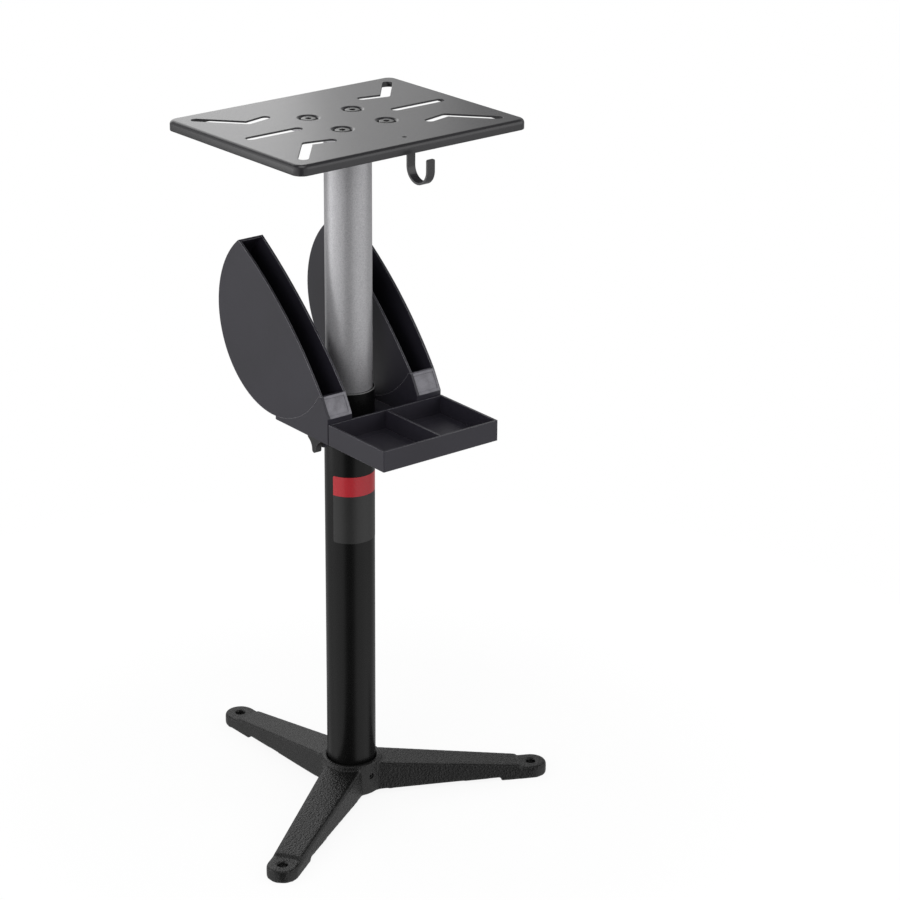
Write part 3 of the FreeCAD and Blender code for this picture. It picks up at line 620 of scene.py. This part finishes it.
def easedCasting(name, source, material):
    mesh = source.data.copy()
    mesh.name = name
    body = bmesh.new()
    body.from_mesh(mesh)
    bmesh.ops.remove_doubles(body, verts=body.verts, dist=castSizes["mergeWithin"])
    body.to_mesh(mesh)
    body.free()
    host = addObject("host", mesh)
    remesh = host.modifiers.new("remesh", "REMESH")
    remesh.mode, remesh.voxel_size, remesh.use_smooth_shade = "VOXEL", castSizes["voxel"], True
    smooth = host.modifiers.new("smooth", "SMOOTH")
    smooth.factor, smooth.iterations = castSizes["easing"], castSizes["rounds"]
    bpy.context.view_layer.update()
    ready = host.evaluated_get(bpy.context.evaluated_depsgraph_get())
    eased = bpy.data.meshes.new_from_object(ready)
    bpy.data.objects.remove(host)
    eased.name = name
    eased.materials.clear()
    eased.materials.append(material)
    eased.polygons.foreach_set("use_smooth", [True] * len(eased.polygons))
    return addObject(name, eased)


baseCasting = easedCasting("base_casting_eased", nodes["base_casting"], finishes["cast_black"])
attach(baseCasting, "root")
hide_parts("base_casting")
print("base made:", len(baseCasting.data.polygons), "faces")


# label on the lower tube: a bare red band over a bare dark panel

label = {"radius": 0.0285, "clear": 0.00002, "proud": 0.00014, "from": -169.0, "to": -21.0, "low": 0.327,
         "split": 0.3845, "high": 0.408, "corner": 0.0022, "columns": 72, "rows": 6, "sharpFrom": 40}
filmLook = {**charcoalPlastic, "edge": 0.0001, "edgeGlintShare": 0.0, "skinScale": 1200.0, "bump": 0.08}
redLook = {**filmLook, "colour": (0.50, 0.022, 0.032, 1), "cloudColour": (0.44, 0.018, 0.028, 1),
           "rough": (0.26, 0.34)}
darkLook = {**filmLook, "colour": grey(0.016), "cloudColour": grey(0.020), "rough": (0.38, 0.48)}


def wrappedFilm(name, low, high, roundLow, roundHigh, material):
    # a thin film bent round the tube, with rounded outer corners
    start, end = math.radians(label["from"]), math.radians(label["to"])
    length = label["radius"] * (end - start)
    corner, columns, rows = label["corner"], label["columns"], label["rows"]
    vertices, faces = [], []
    for i in range(columns + 1):
        share = 0.5 - 0.5 * math.cos(math.pi * i / columns)  # closer together at the ends
        along = share * length
        reach = max(0.0, corner - min(along, length - along))
        bite = corner - math.sqrt(max(0.0, corner ** 2 - reach ** 2))
        bottom, top = low + bite * roundLow, high - bite * roundHigh
        angle = start + share * (end - start)
        for layer in (label["clear"], label["proud"]):
            r = label["radius"] + layer
            for j in range(rows + 1):
                z = bottom + (top - bottom) * j / rows
                vertices.append((r * math.cos(angle), r * math.sin(angle), z))
    step, layerStep = 2 * (rows + 1), rows + 1
    for i in range(columns):
        a, b = i * step, (i + 1) * step
        for j in range(rows):
            over, beside = a + layerStep + j, b + layerStep + j
            faces.append((over, beside, beside + 1, over + 1))
            faces.append((a + j, a + j + 1, b + j + 1, b + j))
        faces.append((a, b, b + layerStep, a + layerStep))
        faces.append((a + rows, a + layerStep + rows, b + layerStep + rows, b + rows))
    for j in range(rows):
        a, b = j, columns * step + j
        faces.append((a, a + layerStep, a + layerStep + 1, a + 1))
        faces.append((b, b + 1, b + layerStep + 1, b + layerStep))
    mesh = bpy.data.meshes.new(name)
    mesh.from_pydata(vertices, [], faces)
    mesh.polygons.foreach_set("use_smooth", [True] * len(mesh.polygons))
    mesh.set_sharp_from_angle(angle=math.radians(label["sharpFrom"]))
    mesh.materials.append(material)
    piece = addObject(name, mesh)
    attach(piece, "root")
    return piece


wrappedFilm("label_red_band", label["split"], label["high"], 0, 1, makeFinish("label_red", redLook))
wrappedFilm("label_dark_panel", label["low"], label["split"], 1, 0, makeFinish("label_dark", darkLook))
print("label made")


# floor, light and camera

view = {"azimuth": -39.907, "elevation": 21.725, "roll": 0.465, "lens": 110.59, "right": 0.11344,
        "up": 0.02924, "aimHeight": 0.4, "distance": 3.1345}

azimuth, elevation, roll = (math.radians(view[k]) for k in ("azimuth", "elevation", "roll"))
back = Vector((math.sin(azimuth) * math.cos(elevation), -math.cos(azimuth) * math.cos(elevation),
               math.sin(elevation)))
level = Vector((math.cos(azimuth), math.sin(azimuth), 0.0))
upright = back.cross(level)
right = level * math.cos(roll) + upright * math.sin(roll)
up = upright * math.cos(roll) - level * math.sin(roll)
eye = (Vector((0, 0, view["aimHeight"])) + level * view["right"] + upright * view["up"]
       + back * view["distance"])
cameraData = bpy.data.cameras.new("camera")
cameraData.lens, cameraData.sensor_width = view["lens"], 36.0
cameraData.clip_start, cameraData.clip_end = 0.05, 60.0
camera = addObject("camera", cameraData)
camera.matrix_world = Matrix.Translation(eye) @ Matrix((right, up, back)).transposed().to_4x4()
scene.camera = camera

floorSizes = {"radius": 0.9, "sides": 96, "colour": 0.80, "shown": 0.88, "fadeFrom": 0.35,
              "fadeTo": 0.8, "white": 1.03}


def makeFloor():
    # a pale disc that reads white to the camera and keeps a soft share of the shadow; mirrors see past it
    turns = [2 * math.pi * k / floorSizes["sides"] for k in range(floorSizes["sides"])]
    ring = [(floorSizes["radius"] * math.cos(turn), floorSizes["radius"] * math.sin(turn), 0.0)
            for turn in turns]
    mesh = bpy.data.meshes.new("floor")
    mesh.from_pydata(ring, [], [tuple(range(len(ring)))])
    material = bpy.data.materials.new("floor_white")
    material.use_nodes = True
    tree = material.node_tree
    tree.nodes.clear()
    shade = floorSizes["colour"]
    matt = addNode(tree, "ShaderNodeBsdfDiffuse", {"Color": (shade, shade, shade, 1)})
    glow = addNode(tree, "ShaderNodeEmission", {"Color": (1, 1, 1, 1), "Strength": floorSizes["white"]})
    path = addNode(tree, "ShaderNodeLightPath").outputs
    reach = vectorMaths(tree, "LENGTH", objectPlace(tree), output="Value")
    fade = remap(tree, reach, floorSizes["fadeFrom"], floorSizes["fadeTo"], floorSizes["shown"], 1.0)
    share = maths(tree, "MULTIPLY", path["Is Camera Ray"], fade)
    both = addNode(tree, "ShaderNodeMixShader", {0: share, 1: matt.outputs[0], 2: glow.outputs[0]})
    clear = addNode(tree, "ShaderNodeBsdfTransparent")
    past = addNode(tree, "ShaderNodeMixShader", {0: path["Is Glossy Ray"], 1: both.outputs[0],
                                                 2: clear.outputs[0]})
    addNode(tree, "ShaderNodeOutputMaterial", {"Surface": past.outputs[0]})
    mesh.materials.append(material)
    floor = addObject("floor", mesh)


# what glossy faces see, as pairs of turn and grey level: turn 0 looks past the stand, 1 at the camera;
# the lower levels give way to the upper ones across the horizon, and those to overhead at the ceiling
worldLight = {"upper": ((0.0, 0.43), (0.30, 0.43), (0.50, 0.60), (0.92, 0.60), (0.985, 0.04)),
              "lower": ((0.0, 0.40), (0.30, 0.40), (0.62, 0.80), (0.925, 0.80), (0.99, 0.04)),
              "overhead": 0.06, "horizon": (-0.12, 0.05), "ceiling": (0.48, 0.70), "ambient": 0.38}


def rampOf(tree, value, stops):
    # a smooth grey ramp through (position, level) pairs
    ramp = tree.nodes.new("ShaderNodeValToRGB")
    ramp.color_ramp.interpolation = "EASE"
    while len(ramp.color_ramp.elements) < len(stops):
        ramp.color_ramp.elements.new(1.0)
    for element, (at, shade) in zip(ramp.color_ramp.elements, stops):
        element.position, element.color = at, (shade, shade, shade, 1)
    tree.links.new(value, ramp.inputs["Fac"])
    return ramp.outputs["Color"]


def makeWorld():
    # white to the camera, a soft grey light for matt faces, and a room with a dark front for glossy ones
    world = bpy.data.worlds.new("studio")
    scene.world = world
    world.use_nodes = True
    tree = world.node_tree
    tree.nodes.clear()
    way = addNode(tree, "ShaderNodeTexCoord").outputs["Generated"]
    unit = vectorMaths(tree, "NORMALIZE", vectorMaths(tree, "MULTIPLY", way, (1, 1, 0)))
    front = Vector((back.x, back.y, 0)).normalized()
    turn = remap(tree, vectorMaths(tree, "DOT_PRODUCT", unit, tuple(front), "Value"), -1.0, 1.0)
    above, below = rampOf(tree, turn, worldLight["upper"]), rampOf(tree, turn, worldLight["lower"])
    height = addNode(tree, "ShaderNodeSeparateXYZ", {"Vector": way}).outputs["Z"]
    walls = mixColour(tree, remap(tree, height, *worldLight["horizon"]), below, above)
    high = worldLight["overhead"]
    room = mixColour(tree, remap(tree, height, *worldLight["ceiling"]), walls, (high, high, high, 1))
    path = addNode(tree, "ShaderNodeLightPath").outputs
    dim = worldLight["ambient"]
    mirrored = mixColour(tree, path["Is Glossy Ray"], (dim, dim, dim, 1), room)
    direct = maths(tree, "MAXIMUM", path["Is Camera Ray"], path["Is Transmission Ray"])
    colour = mixColour(tree, direct, mirrored, (1, 1, 1, 1))
    sky = addNode(tree, "ShaderNodeBackground", {"Color": colour, "Strength": 1.0})
    addNode(tree, "ShaderNodeOutputWorld", {"Surface": sky.outputs[0]})


# each softbox: bearing from the camera's side (degrees, right positive), distance, height of its middle,
# width, height of the box, power, aim height
softboxes = {
    "rightBox": (84, 1.9, 1.30, 2.0, 1.5, 8.5, 0.52),
    "rightFill": (84, 1.9, 1.30, 2.0, 1.5, 9.0, 0.52),
    "leftBox": (-75, 1.7, 0.95, 1.6, 1.6, 5.4, 0.45),
    "leftStrip": (-92, 1.7, 0.42, 0.80, 0.85, 1.8, 0.42),
    "backPanel": (-152.5, 1.25, 1.30, 1.1, 1.1, 4.1, 0.80),
    "backWide": (-160, 1.25, 1.30, 1.2, 1.1, 2.0, 0.80),
    "topBox": (10, 0.6, 2.4, 1.2, 1.2, 10.0, 0.5),
    "frontBox": (-22, 2.2, 1.1, 1.2, 1.2, 18.0, 0.5),
}
unmirrored = ("rightFill", "frontBox")  # these light the stand, but glossy faces don't show them


def makeSoftbox(name, bearing, distance, height, wide, tall, power, aim):
    angle = azimuth + math.radians(bearing)
    spot = Vector((math.sin(angle) * distance, -math.cos(angle) * distance, height))
    light = bpy.data.lights.new(name, "AREA")
    light.shape, light.size, light.size_y, light.energy = "RECTANGLE", wide, tall, power
    lamp = addObject(name, light)
    lamp.location = spot
    lamp.rotation_euler = (Vector((0, 0, aim)) - spot).to_track_quat("-Z", "Y").to_euler()
    lamp.visible_camera = False
    lamp.visible_glossy = name not in unmirrored


makeFloor()
makeWorld()
for boxName, values in softboxes.items():
    makeSoftbox(boxName, *values)
scene.view_settings.view_transform = "Standard"
print("floor, light and camera made")
